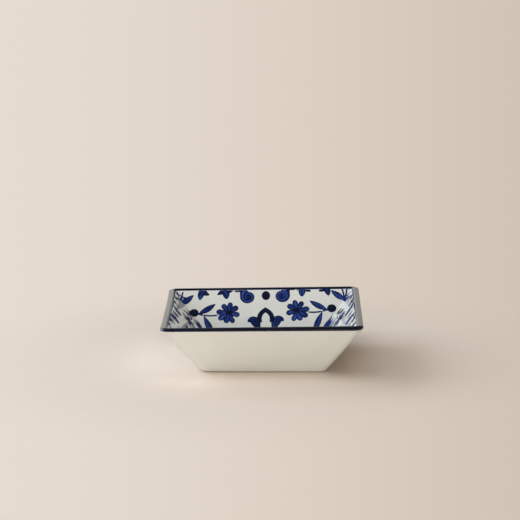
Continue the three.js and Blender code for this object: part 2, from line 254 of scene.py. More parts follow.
def square_round():
    """Corner signs and outward directions for the points round a square with rounded corners."""
    signs, outward = [], []
    for quarter in range(4):
        turn = math.radians(90 * quarter)
        here = np.sign([math.cos(turn + math.pi / 4), math.sin(turn + math.pi / 4)])
        ahead = np.sign([math.cos(turn + 3 * math.pi / 4), math.sin(turn + 3 * math.pi / 4)])
        for step in range(CORNER_STEPS):
            angle = turn + math.pi / 2 * step / CORNER_STEPS
            signs.append(here)
            outward.append([math.cos(angle), math.sin(angle)])
        for step in range(SIDE_STEPS):
            angle = turn + math.pi / 2
            signs.append(here + (ahead - here) * step / SIDE_STEPS)
            outward.append([math.cos(angle), math.sin(angle)])
    return np.array(signs), np.array(outward)


CORNER_SIGNS, OUTWARD = square_round()


def ring_places(rows):
    """Places of all points of a section carried round the dish, row by row, a little out of true."""
    half, height = rows[:, 0], rows[:, 1]
    plan = np.minimum(rows[:, 2], half * PLAN_SHARE)
    across = (half - plan)[:, None, None] * CORNER_SIGNS + plan[:, None, None] * OUTWARD
    share = across / outer_half(HEIGHT)
    slant = SLUMP * share[:, :, 0] + FRONT_RISE * np.clip(-share[:, :, 1], 0.0, 1.0) ** 2
    up = (1 + slant / HEIGHT) * height[:, None]
    across[:, :, 0] += SWAY * (1 - height / HEIGHT)[:, None]
    back_left = np.clip(-share[:, :, 0], 0.0, 1.0) * np.clip(share[:, :, 1], 0.0, 1.0) ** 2
    across[:, :, 0] -= SPREAD * back_left
    return np.concatenate([across, up[:, :, None]], axis=2)


def store_values(mesh, label, numbers):
    """Stores one value for each point of a mesh."""
    stored = mesh.attributes.new(label, "FLOAT", "POINT")
    stored.data.foreach_set("value", np.asarray(numbers, np.float32).reshape(-1))


def new_object(name, data):
    """An object in the scene for a mesh, a light or a camera."""
    made = bpy.data.objects.new(name, data)
    bpy.context.scene.collection.objects.link(made)
    return made


def ring_mesh(name, places, closed, masks, material):
    """A mesh through rows of rings, closed on itself or capped at both ends."""
    rows, around = places.shape[:2]
    faces = []
    for row in range(rows if closed else rows - 1):
        here = row * around
        above = (row + 1) % rows * around
        for step in range(around):
            ahead = (step + 1) % around
            faces.append((here + step, here + ahead, above + ahead, above + step))
    if not closed:
        faces.append(tuple(reversed(range(around))))
        faces.append(tuple(range((rows - 1) * around, rows * around)))
    mesh = bpy.data.meshes.new(name)
    mesh.from_pydata((places.reshape(-1, 3) * MM).tolist(), [], faces)
    for label, values in masks.items():
        store_values(mesh, label, values)
    mesh.shade_smooth()
    mesh.materials.append(material)
    mesh.validate()
    return new_object(name, mesh)


# Node trees

def feed(tree, socket, value):
    """Links an input to another node's socket, or sets it to a value."""
    if isinstance(value, bpy.types.NodeSocket):
        tree.links.new(value, socket)
    else:
        socket.default_value = value


def add_node(tree, kind, inputs=None, **settings):
    """A node with its settings, and with its inputs fed by name or number."""
    made = tree.nodes.new(kind)
    for label, value in settings.items():
        setattr(made, label, value)
    for label, value in (inputs or {}).items():
        feed(tree, made.inputs[label], value)
    return made


def math_node(tree, operation, first, second=0.0, third=0.0):
    """The result of one operation on numbers."""
    return add_node(tree, "ShaderNodeMath", {0: first, 1: second, 2: third}, operation=operation).outputs[0]


def remap(tree, value, low, high, to_low=0.0, to_high=1.0):
    """A value eased from one range on to another."""
    inputs = {"Value": value, "From Min": low, "From Max": high, "To Min": to_low, "To Max": to_high}
    return add_node(tree, "ShaderNodeMapRange", inputs, interpolation_type="SMOOTHSTEP").outputs["Result"]


def blend_colour(tree, share, first, second):
    """One colour going over into another."""
    made = add_node(tree, "ShaderNodeMix", data_type="RGBA")
    for label, value in (("Factor", share), (6, first), (7, second)):
        feed(tree, made.inputs[label], value)
    return made.outputs[2]


def noise(tree, place, size, detail=2.0, roughness=0.5):
    """Noise whose blotches are about one size across, in millimetres."""
    inputs = {"Vector": place, "Scale": 1 / (size * MM), "Detail": detail, "Roughness": roughness}
    return add_node(tree, "ShaderNodeTexNoise", inputs).outputs["Fac"]


def attribute(tree, label):
    """A value stored on the mesh."""
    return add_node(tree, "ShaderNodeAttribute", attribute_name=label).outputs["Fac"]


def srgb(red, green, blue):
    """A colour as it looks on a screen, 0 to 255, in the linear numbers that shaders take."""
    linear = []
    for part in (red, green, blue):
        share = part / 255
        linear.append(share / 12.92 if share <= 0.04045 else ((share + 0.055) / 1.055) ** 2.4)
    return (*linear, 1.0)


def new_group(name, kind, inputs, outputs):
    """An empty node group with its sockets by name and kind, its input node and its output node."""
    tree = bpy.data.node_groups.new(name, kind)
    for label, socket in inputs.items():
        tree.interface.new_socket(label, in_out="INPUT", socket_type=socket)
    for label, socket in outputs.items():
        tree.interface.new_socket(label, in_out="OUTPUT", socket_type=socket)
    return tree, tree.nodes.new("NodeGroupInput"), tree.nodes.new("NodeGroupOutput")


def floats(*labels):
    """Sockets for plain numbers."""
    return dict.fromkeys(labels, "NodeSocketFloat")


def glaze_skin_group():
    """Fired glaze: slow swells and a fine orange peel in its height, and patches of softer gloss."""
    inputs = floats("Swell", "Peel", "Sharp", "Soft")
    outputs = floats("Height", "Roughness", "Cloud")
    tree, given, result = new_group("glaze_skin", "ShaderNodeTree", inputs, outputs)
    place = add_node(tree, "ShaderNodeTexCoord").outputs["Object"]
    swell = math_node(tree, "MULTIPLY", noise(tree, place, 16.0, 1.0), given.outputs["Swell"])
    peel = math_node(tree, "MULTIPLY", noise(tree, place, 1.4, 1.0), given.outputs["Peel"])
    tree.links.new(math_node(tree, "ADD", swell, peel), result.inputs["Height"])
    patches = remap(tree, noise(tree, place, 9.0, 3.0, 0.6), 0.35, 0.7)
    span = math_node(tree, "SUBTRACT", given.outputs["Soft"], given.outputs["Sharp"])
    gloss = math_node(tree, "MULTIPLY_ADD", patches, span, given.outputs["Sharp"])
    tree.links.new(gloss, result.inputs["Roughness"])
    tree.links.new(remap(tree, noise(tree, place, 22.0, 2.0), 0.3, 0.7), result.inputs["Cloud"])
    return tree


def brush_marks_group():
    """Marks of a loaded brush: hairlines that run along the stroke and a wash that thins here and there."""
    inputs = floats("Along", "Across", "Seed")
    outputs = floats("Hairlines", "Wash")
    tree, given, result = new_group("brush_marks", "ShaderNodeTree", inputs, outputs)
    seed = given.outputs["Seed"]
    side = math_node(tree, "MULTIPLY_ADD", seed, 7.3, given.outputs["Across"])
    start = math_node(tree, "MULTIPLY", seed, 3.1)
    length = math_node(tree, "MULTIPLY_ADD", given.outputs["Along"], 0.55, start)
    hair_place = add_node(tree, "ShaderNodeCombineXYZ", {0: side, 1: length, 2: seed}).outputs[0]
    hair = add_node(tree, "ShaderNodeTexNoise", {"Vector": hair_place, "Scale": 2.6, "Detail": 2.0})
    tree.links.new(remap(tree, hair.outputs["Fac"], 0.40, 0.66), result.inputs["Hairlines"])
    place = add_node(tree, "ShaderNodeTexCoord").outputs["Object"]
    tree.links.new(remap(tree, noise(tree, place, 1.6, 3.0, 0.6), 0.3, 0.7), result.inputs["Wash"])
    return tree


def place_group(tree, group, **values):
    """A group node with its own values."""
    made = tree.nodes.new("ShaderNodeGroup")
    made.node_tree = group
    for label, value in values.items():
        feed(tree, made.inputs[label], value)
    return made


def new_material(name):
    """A material with its tree and its shader."""
    made = bpy.data.materials.new(name)
    made.use_nodes = True
    return made, made.node_tree, made.node_tree.nodes["Principled BSDF"]


def bump_normal(tree, height):
    """A normal from the height of the glaze."""
    inputs = {"Height": height, "Strength": 1.0, "Distance": GLAZE_RELIEF * MM}
    return add_node(tree, "ShaderNodeBump", inputs).outputs["Normal"]


# Finishes

def white_glaze(glaze_skin):
    """Off-white porcelain under clear glaze, greyer where the glaze gathers and bare on the foot."""
    material, tree, shader = new_material("white_glaze")
    place = add_node(tree, "ShaderNodeTexCoord").outputs["Object"]
    skin = place_group(tree, glaze_skin, Swell=1.0, Peel=0.06, Sharp=0.04, Soft=0.09)
    clay = blend_colour(tree, skin.outputs["Cloud"], srgb(232, 234, 231), srgb(229, 232, 229))
    gathered = math_node(tree, "MULTIPLY", attribute(tree, "pool"), 0.5)
    clay = blend_colour(tree, gathered, clay, srgb(212, 218, 219))
    specks = remap(tree, noise(tree, place, 0.8, 1.0), 0.76, 0.80, 0.0, 0.35)
    clay = blend_colour(tree, specks, clay, srgb(150, 138, 120))
    bare = remap(tree, attribute(tree, "bare"), 0.45, 0.55)
    grit = remap(tree, noise(tree, place, 0.4, 3.0, 0.7), 0.3, 0.7)
    biscuit = blend_colour(tree, grit, srgb(214, 203, 186), srgb(196, 184, 166))
    tree.links.new(blend_colour(tree, bare, clay, biscuit), shader.inputs["Base Color"])
    dry = math_node(tree, "MULTIPLY", bare, 0.8)
    tree.links.new(math_node(tree, "ADD", skin.outputs["Roughness"], dry), shader.inputs["Roughness"])
    grain = math_node(tree, "MULTIPLY", math_node(tree, "MULTIPLY", grit, bare), 0.6)
    height = math_node(tree, "ADD", skin.outputs["Height"], grain)
    tree.links.new(bump_normal(tree, height), shader.inputs["Normal"])
    shader.inputs["IOR"].default_value = GLAZE_IOR
    return material


def lip_navy(glaze_skin, brush_marks):
    """Near-black navy under glaze, which thins to blue and then to bare clay at its painted edges."""
    material, tree, shader = new_material("lip_navy")
    skin = place_group(tree, glaze_skin, Swell=1.0, Peel=0.06, Sharp=0.07, Soft=0.14)
    edge = attribute(tree, "edge")
    marks = place_group(tree, brush_marks, Along=attribute(tree, "along"), Across=edge, Seed=0.3)
    streaks = math_node(tree, "MULTIPLY", marks.outputs["Hairlines"], 0.35)
    navy = blend_colour(tree, streaks, srgb(5, 8, 20), srgb(14, 20, 44))
    load = math_node(tree, "MULTIPLY_ADD", marks.outputs["Wash"], 0.5, 0.75)
    ragged = math_node(tree, "MULTIPLY", edge, load)
    full = remap(tree, ragged, 0.3, 1.0)
    thin = remap(tree, ragged, 0.02, 0.3)
    bleed = blend_colour(tree, thin, srgb(231, 233, 230), srgb(26, 40, 104))
    tree.links.new(blend_colour(tree, full, bleed, navy), shader.inputs["Base Color"])
    tree.links.new(skin.outputs["Roughness"], shader.inputs["Roughness"])
    tree.links.new(bump_normal(tree, skin.outputs["Height"]), shader.inputs["Normal"])
    shader.inputs["IOR"].default_value = GLAZE_IOR
    return material


def brushed_cobalt(glaze_skin, brush_marks):
    """Cobalt brushwork under glaze: dark outlines, blue washes and lighter hairlines along each stroke."""
    material, tree, shader = new_material("brushed_cobalt")
    skin = place_group(tree, glaze_skin, Swell=1.0, Peel=0.06, Sharp=0.06, Soft=0.13)
    along = attribute(tree, "along")
    across = attribute(tree, "across")
    marks = place_group(tree, brush_marks, Along=along, Across=across, Seed=attribute(tree, "seed"))
    outline = remap(tree, math_node(tree, "ABSOLUTE", across), 0.5, 0.9)
    tips = remap(tree, math_node(tree, "ABSOLUTE", math_node(tree, "SUBTRACT", along, 0.45)), 0.3, 0.5)
    dark = math_node(tree, "MAXIMUM", outline, tips)
    body = math_node(tree, "MULTIPLY_ADD", marks.outputs["Hairlines"], 0.55, 0.34)
    body = math_node(tree, "MULTIPLY_ADD", marks.outputs["Wash"], 0.16, body)
    open_share = math_node(tree, "MULTIPLY_ADD", dark, -0.85, 1.0)
    open_body = math_node(tree, "MULTIPLY", body, open_share)
    light = math_node(tree, "MULTIPLY", open_body, attribute(tree, "tone"))
    ramp = add_node(tree, "ShaderNodeValToRGB", {"Fac": light})
    steps = {
        0.0: srgb(22, 27, 48),
        0.3: srgb(25, 35, 72),
        0.62: srgb(32, 50, 116),
        1.0: srgb(68, 98, 182),
    }
    elements = ramp.color_ramp.elements
    for spot in list(steps)[1:-1]:
        elements.new(spot)
    for element, (spot, colour) in zip(elements, steps.items()):
        element.position = spot
        element.color = colour
    tree.links.new(ramp.outputs["Color"], shader.inputs["Base Color"])
    tree.links.new(skin.outputs["Roughness"], shader.inputs["Roughness"])
    tree.links.new(bump_normal(tree, skin.outputs["Height"]), shader.inputs["Normal"])
    shader.inputs["Specular IOR Level"].default_value = 0.005
    return material


def paper_floor():
    """Matt beige paper, which goes over into the backdrop's colour away from the dish."""
    material, tree, shader = new_material("paper_floor")
    place = add_node(tree, "ShaderNodeTexCoord").outputs["Object"]
    tooth = noise(tree, place, 3.0, 3.0, 0.6)
    paper = blend_colour(tree, tooth, srgb(240, 227, 215), srgb(238, 225, 213))
    tree.links.new(paper, shader.inputs["Base Color"])
    shader.inputs["Roughness"].default_value = 0.9
    shader.inputs["Specular IOR Level"].default_value = 0.2
    distance = add_node(tree, "ShaderNodeVectorMath", {0: place}, operation="LENGTH").outputs["Value"]
    far = remap(tree, distance, PAPER_NEAR, PAPER_FAR)
    seen = add_node(tree, "ShaderNodeLightPath").outputs["Is Camera Ray"]
    alpha = math_node(tree, "SUBTRACT", 1.0, math_node(tree, "MULTIPLY", far, seen))
    tree.links.new(alpha, shader.inputs["Alpha"])
    return material


# Clay body and lip colour

def make_body(material):
    """The clay: foot ring, base, flared walls, rounded lip, inside walls and floor, as one closed skin."""
    edge_middle = BASE_WIDTH / 2 + BASE_EDGE_RADIUS * (math.tan(LEAN) - 1 / math.cos(LEAN))
    foot_outer = edge_middle - FOOT_INSET
    foot_inner = foot_outer - FOOT_WIDTH
    wall_end = FLOOR_TOP + FILLET_RUN
    floor_end = inner_half(FLOOR_TOP) - FILLET_RUN
    corners = [
        Corner(CAP_HALF, FOOT_HEIGHT, 0, BASE_CORNER, 0, 0),
        Corner(foot_inner - 2 * FOOT_EDGE, FOOT_HEIGHT, 0, BASE_CORNER, 0, 0),
        Corner(foot_inner, FOOT_HEIGHT, FOOT_ROOT, BASE_CORNER, 0, 0),
        Corner(foot_inner, 0, FOOT_EDGE, BASE_CORNER, 1, 0),
        Corner(foot_outer, 0, FOOT_EDGE, BASE_CORNER, 1, 0),
        Corner(foot_outer, FOOT_HEIGHT, FOOT_ROOT, BASE_CORNER, 0, 0),
        Corner(BASE_WIDTH / 2, FOOT_HEIGHT, BASE_EDGE_RADIUS, BASE_CORNER, 0, 0),
        Corner(outer_half(HEIGHT - LIP_TILT), HEIGHT - LIP_TILT, LIP_RADIUS, RIM_CORNER, 0, 0),
        Corner(inner_half(HEIGHT), HEIGHT, LIP_RADIUS, INNER_CORNER, 0, 0),
        Corner(inner_half(wall_end), wall_end, 0, INNER_CORNER, 0, 0),
        Corner(inner_half(FLOOR_TOP), FLOOR_TOP, FLOOR_FILLET, INNER_CORNER, 0, 1),
        Corner(floor_end, FLOOR_TOP, 0, INNER_CORNER, 0, 0),
        Corner(CAP_HALF, FLOOR_TOP, 0, INNER_CORNER, 0, 0),
    ]
    rows = section_rows(corners)
    around = len(OUTWARD)
    bare, pool = (np.repeat(rows[:, column:column + 1], around, axis=1) for column in (3, 4))
    masks = {"bare": bare, "pool": pool}
    return ring_mesh("porcelain_dish", ring_places(rows), False, masks, material)


def lip_rows(skin):
    """Rows over the lip, lifted off the clay by a skin, with each row's distances from the two edges."""
    side = skin / math.cos(LEAN)
    low = HEIGHT - 2 * BAND_OUTER_DROP
    top = HEIGHT + skin
    edge = top - LIP_TILT
    corners = [
        Corner(outer_half(low) + side, low, 0, RIM_CORNER, 0, 0),
        Corner(outer_half(edge) + side, edge, LIP_RADIUS + skin, RIM_CORNER, 0, 0),
        Corner(inner_half(top) - side, top, LIP_RADIUS + skin, INNER_CORNER, 0, 0),
        Corner(inner_half(low) - side, low, 0, INNER_CORNER, 0, 0),
    ]
    rows = section_rows(corners)
    run = np.concatenate([[0.0], np.cumsum(np.hypot(*np.diff(rows[:, :2], axis=0).T))])
    crest = np.argmax(rows[:, 1])
    start = np.interp(HEIGHT - BAND_OUTER_DROP, rows[:crest, 1], run[:crest])
    end = np.interp(BAND_INNER_DROP - HEIGHT, -rows[crest:, 1], run[crest:])
    spots = np.linspace(start, end, LIP_STEPS)
    laid = np.stack([np.interp(spots, run, column) for column in rows.T], axis=1)
    laid[:, 3] = spots - start
    laid[:, 4] = end - spots
    return laid


def make_lip_band(material):
    """The lip's colour: a thin closed skin over the lip, painted farther down the dish on the right."""
    rows = np.concatenate([lip_rows(BAND_SKIN), lip_rows(-BAND_ROOT)[::-1]])
    around = len(OUTWARD)
    turn = np.arange(around) / around * 2 * math.pi
    unpainted = BAND_WANDER * (1 - CORNER_SIGNS[:, 0]) / 2
    painted = np.minimum(rows[:, 3:4] - unpainted, rows[:, 4:5]) / BAND_BLEED
    masks = {"edge": np.clip(painted, 0.0, 1.0), "along": np.repeat(turn[None, :], len(rows), axis=0)}
    return ring_mesh("lip_band", ring_places(rows), True, masks, material)


# Brush strokes of the print

Stroke = namedtuple("Stroke", "places halves tone layer")


def brush(path, half_width, tone, layer=0, steps=STROKE_STEPS):
    """One stroke: points along a path, closer together at its ends, with a half width at each."""
    shares = (1 - np.cos(np.linspace(0.0, math.pi, steps + 1))) / 2
    places = np.array([path(share) for share in shares])
    halves = np.array([max(half_width(share), STROKE_LEAST) for share in shares])
    return Stroke(places, halves, tone, layer)


def curve_path(start, bend, end):
    """A path along a quadratic curve."""
    start, bend, end = np.array(start), np.array(bend), np.array(end)
    return lambda share: start * (1 - share) ** 2 + bend * 2 * share * (1 - share) + end * share ** 2


def straight_path(start, end):
    """A path along a straight line."""
    start, end = np.array(start), np.array(end)
    return lambda share: start + (end - start) * share


def round_shape(half):
    """Half widths of a disc or an oval."""
    return lambda share: half * math.sqrt(max(0.0, 1 - (2 * share - 1) ** 2))


def almond_shape(half, fullest=0.45, blunt=0.8):
    """Half widths of a leaf that is widest part of the way along."""
    power = math.log(0.5) / math.log(fullest)
    return lambda share: half * math.sin(math.pi * share ** power) ** blunt if 0 < share < 1 else 0.0


def line_shape(half, taper=0.12):
    """Half widths of an even line with rounded ends."""
    return lambda share: half * min(1.0, math.sqrt(max(0.0, min(share, 1 - share)) / taper))


def polar(angle, length):
    """A step of a length in a direction."""
    turn = math.radians(angle)
    return np.array([math.cos(turn), math.sin(turn)]) * length


def oval(middle, half_wide, half_deep, tone, layer=0):
    """An oval dab."""
    middle = np.array(middle)
    reach = np.array([0.0, half_deep])
    return brush(straight_path(middle + reach, middle - reach), round_shape(half_wide), tone, layer)


def leaf(root, length, width, angle, bow, tone, layer=0, fullest=0.5):
    """A leaf from its root to its tip, bowed to one side."""
    root = np.array(root)
    tip = root + polar(angle, length)
    bend = root + polar(angle, length * 0.5) + polar(angle + 90, bow * 2)
    return brush(curve_path(root, bend, tip), almond_shape(width / 2, fullest), tone, layer)


def daisy(middle, radius):
    """A flower of petals that meet in a wash round a dark eye, which sits a little off the middle."""
    middle = np.array(middle)
    strokes = [oval(middle, radius * WASH_SHARE, radius * WASH_SHARE, 0.7)]
    for index, angle in enumerate(PETAL_ANGLES):
        start = middle + polar(angle, radius * PETAL_START)
        end = middle + polar(angle, radius * (1 + 0.04 * math.cos(2.6 * index)))
        half = radius * (PETAL_SHARE + 0.02 * math.cos(1.9 * index))
        strokes.append(brush(straight_path(start, end), almond_shape(half, 0.64, 0.45), 1.0, 1 + index % 2))
    eye = radius * EYE_SHARE
    strokes.append(oval(middle + polar(145, radius * 0.09), eye, eye * 0.84, 0.12, 5))
    return strokes


def bead():
    """The dark oval under the middle of the lip."""
    return [oval((BEAD_ASIDE, -BEAD_TOP - BEAD_DEPTH / 2), BEAD_WIDTH / 2, BEAD_DEPTH / 2, 0.1)]


def scroll():
    """A ribbon that hangs from the lip by a wide mouth and winds in over a wash, with a dark inner line."""
    middle = np.array(SCROLL_PLACE)
    outer = SCROLL_RADIUS - SCROLL_RIBBON / 2
    inner = SCROLL_RIBBON * 0.12
    tail = SCROLL_TAIL

    def half(share):
        if share < tail:
            return SCROLL_RIBBON / 2 + (SCROLL_MOUTH - SCROLL_RIBBON) / 2 * (1 - share / tail) ** 2
        return SCROLL_RIBBON / 2 * (1 - 0.45 * (share - tail) / (1 - tail))

    def path(share, inset=0.0):
        if share < tail:
            rise = (1 - share / tail) * (-middle[1] - LIP_LINE)
            return middle + np.array([SCROLL_RADIUS - half(share), rise])
        wound = (share - tail) / (1 - tail)
        drift = np.array([-0.6, -0.3]) * wound
        reach = outer + (inner - outer) * wound ** 2.2 - inset * half(share)
        return middle + drift + polar(-360 * SCROLL_TURNS * wound, reach)

    wash = oval(middle + np.array([-0.3, -0.6]), 2.6, 2.6, 0.9)
    ribbon = brush(path, half, 0.95, 1, SCROLL_STEPS)
    winding = brush(lambda share: path(0.28 + 0.62 * share, 0.85), line_shape(0.32), 0.05, 3, SCROLL_STEPS)
    end = middle[0] + SCROLL_RADIUS
    ledge = straight_path((end - 2.0, -LIP_LINE - 1.1), (end + 3.4, -LIP_LINE - 1.1))
    return [wash, ribbon, winding, brush(ledge, line_shape(0.55), 0.1, 2)]


def inner_bud():
    """A drooping bud: a long lobe, a lobe curled outwards and a horn that lies along the lip."""
    horn = curve_path((INNER_BUD + 0.8, -1.0), (INNER_BUD - 2.0, -2.4), (INNER_BUD - 5.2, -0.9))
    curled_lobe = curve_path((INNER_BUD - 0.2, -0.9), (INNER_BUD + 2.6, -2.2), (INNER_BUD + 5.3, -4.0))
    long_lobe = curve_path((INNER_BUD + 0.9, -0.6), (INNER_BUD - 0.9, -3.2), (INNER_BUD - 0.4, -BUD_TIP))
    return [
        brush(horn, almond_shape(1.4, 0.4), 0.35, 0),
        brush(curled_lobe, almond_shape(1.5, 0.42), 0.6, 1),
        brush(long_lobe, almond_shape(2.1, 0.5, 0.6), 0.85, 2),
    ]


def outer_bud():
    """A broad bud: a long lobe that hangs straight down and a lobe curled towards the middle."""
    top = straight_path((OUTER_BUD - 2.0, -1.2), (OUTER_BUD + 3.6, -1.2))
    curled_lobe = curve_path((OUTER_BUD + 1.6, -1.2), (OUTER_BUD - 0.8, -3.0), (OUTER_BUD - 3.6, -3.8))
    filling = curve_path((OUTER_BUD + 0.4, -0.6), (OUTER_BUD + 0.3, -2.6), (OUTER_BUD + 1.8, -5.0))
    long_lobe = curve_path((OUTER_BUD + 1.4, -0.4), (OUTER_BUD + 2.2, -3.4), (OUTER_BUD + 2.8, -BUD_TIP))
    return [
        brush(top, line_shape(0.9, 0.2), 0.3, 0),
        brush(curled_lobe, almond_shape(1.5, 0.4), 0.6, 1),
        brush(filling, almond_shape(1.6, 0.4), 0.75, 2),
        brush(long_lobe, almond_shape(1.9, 0.45, 0.6), 0.9, 3),
    ]


def corner_leaf():
    """A leaf that points up out of the corner, with two thin stems from its root to the lip."""
    root = np.array(CORNER_LEAF_TIP) + polar(-CORNER_LEAF_ANGLE, CORNER_LEAF_LENGTH)
    turned = 180 - CORNER_LEAF_ANGLE
    strokes = [leaf(root, CORNER_LEAF_LENGTH, CORNER_LEAF_WIDTH, turned, 0.1, 0.95, 1, 0.44)]
    for reach in CORNER_STEM_REACHES:
        top = np.array([root[0] + reach, -LIP_LINE])
        bend = (root + top) / 2 + np.array([CORNER_STEM_BEND, 0.0])
        strokes.append(brush(curve_path(root, bend, top), line_shape(CORNER_STEM_WIDTH / 2), 1.0))
    return strokes


def palmette():
    """An onion arch with stepped feet, with a wing curling out from each shoulder."""
    point = -PALMETTE_POINT
    foot = point - PALMETTE_DEPTH
    bar = PALMETTE_BAR / 2
    strokes = []
    for side, tone in ((-1, 0.6), (1, 0.85)):
        flip = np.array([side, 1.0])
        arch = curve_path((-1.0, point - 1.3), (5.4, point - 4.2), (PALMETTE_ARCH + bar, point - 10.5))
        leg = curve_path((5.0, point - 6.7), (5.3, point - 11.2), (PALMETTE_STEP + 1.9, foot))
        wing = curve_path((4.6, point - 8.6), (9.2, point - 7.0), (PALMETTE_SPREAD, point - 9.9))
        curl = curve_path((5.8, point - 14.0), (6.6, point - 10.8), (10.2, point - 9.6))
        made = [
            brush(wing, almond_shape(1.9, 0.42, 0.6), tone, 0),
            brush(leg, lambda share: 1.7 + 0.25 * share, tone, 1),
            brush(curl, almond_shape(1.5, 0.45), tone, 2),
            brush(arch, lambda share: bar, 0.3, 3),
        ]
        strokes += [Stroke(stroke.places * flip, *stroke[1:]) for stroke in made]
    return strokes


def sprig():
    """A daisy on a sagging stem with two leaves, a berry and a shoot."""
    flower, berry = np.array(DAISY_PLACE), np.array(BERRY_PLACE)
    fork = berry + np.array([-BERRY_RADIUS - 0.1, -0.7])
    lower_root = fork + np.array([-3.0, -1.0])
    stem_start = flower + polar(-10, DAISY_RADIUS * 0.9)
    stem_bend = (stem_start + lower_root) / 2 + np.array([0.0, -0.9])
    strokes = daisy(flower, DAISY_RADIUS)
    strokes.append(brush(curve_path(stem_start, stem_bend, lower_root), line_shape(STEM_WIDTH * 0.5), 1.0))
    strokes.append(brush(curve_path(lower_root, fork, berry), line_shape(STEM_WIDTH * 0.6), 0.9))
    strokes.append(leaf(fork, LEAF_LENGTH, LEAF_WIDTH, 180 - UPPER_LEAF_ANGLE, 0.4, 0.95, 1, 0.48))
    lower_angle = -LOWER_LEAF_ANGLE
    strokes.append(leaf(lower_root, LOWER_LEAF_LENGTH, LOWER_LEAF_WIDTH, lower_angle, 0.0, 0.95, 1, 0.55))
    strokes.append(oval(berry, BERRY_RADIUS, BERRY_RADIUS, 0.1, 1))
    shoot_start = berry + polar(-75, BERRY_RADIUS)
    shoot_end = berry + polar(-SHOOT_ANGLE, SHOOT_LENGTH)
    shoot_bend = (shoot_start + shoot_end) / 2 + np.array([2.4, 0.65])
    strokes.append(brush(curve_path(shoot_start, shoot_bend, shoot_end), almond_shape(1.1, 0.75, 0.9), 1.1))
    return strokes


def mirrored(strokes):
    """The same strokes on the left half."""
    flip = np.array([-1.0, 1.0])
    return [Stroke(stroke.places * flip, *stroke[1:]) for stroke in strokes]


def moved(strokes, across):
    """The same strokes farther to the right."""
    return [Stroke(stroke.places + np.array([across, 0.0]), *stroke[1:]) for stroke in strokes]


def weighted(strokes, weight):
    """The same strokes from a fuller or lighter brush."""
    return [Stroke(stroke.places, stroke.halves * weight, *stroke[2:]) for stroke in strokes]


def scaled(strokes, scale):
    """The same strokes at another size."""
    return [Stroke(stroke.places * scale, stroke.halves * scale, *stroke[2:]) for stroke in strokes]


def wall_strokes(drift, weight):
    """All strokes of one wall, with the middle motifs drifted to the right, and the buds less far."""
    beside = sprig() + corner_leaf()
    buds = inner_bud() + outer_bud()
    middle = bead() + palmette() + scroll() + mirrored(scroll())
    strokes = beside + mirrored(beside)
    strokes += moved(buds + mirrored(buds), drift * BUD_DRIFT)
    strokes += moved(middle, drift)
    return weighted(strokes, weight)


def floor_strokes():
    """All strokes of the floor: a rosette and four pairs of leaves on the diagonals."""
    strokes = daisy((0.0, 0.0), ROSETTE_RADIUS)
    for quarter in range(4):
        angle = 45 + 90 * quarter
        root = polar(angle, ROSETTE_RADIUS + ROSETTE_GAP)
        for side in (-1, 1):
            turned = angle + side * FLOOR_LEAF_SPREAD
            strokes.append(leaf(root, FLOOR_LEAF_LENGTH, FLOOR_LEAF_WIDTH, turned, side * 0.9, 0.85, 1))
        berry = root + polar(angle, FLOOR_BERRY_REACH)
        strokes.append(brush(straight_path(root, berry), line_shape(STEM_WIDTH * 0.5), 0.5))
        strokes.append(oval(berry, BERRY_RADIUS, BERRY_RADIUS, 0.1, 1))
    rosette_low, rosette_high = node_box("floor_rosette")
    return scaled(strokes, (rosette_high.x - rosette_low.x) / (2 * ROSETTE_RADIUS))


def stroke_guides(name, strokes):
    """An object of open lines, one for each stroke, that carries what the brush needs at each point."""
    places, edges = [], []
    values = {"width": [], "along": [], "tone": [], "seed": [], "lift": []}
    for index, stroke in enumerate(strokes):
        first = len(places)
        count = len(stroke.places)
        places += [(x * MM, y * MM, 0.0) for x, y in stroke.places]
        edges += [(first + k, first + k + 1) for k in range(count - 1)]
        values["width"] += list(stroke.halves * MM)
        values["along"] += list(np.linspace(0.0, 1.0, count))
        values["tone"] += [stroke.tone] * count
        values["seed"] += [(index * SEED_STEP) % 1.0] * count
        values["lift"] += [stroke.layer * COAT_LAYER * MM] * count
    mesh = bpy.data.meshes.new(name)
    mesh.from_pydata(places, edges, [])
    for label, numbers in values.items():
        store_values(mesh, label, numbers)
    return new_object(name, mesh)


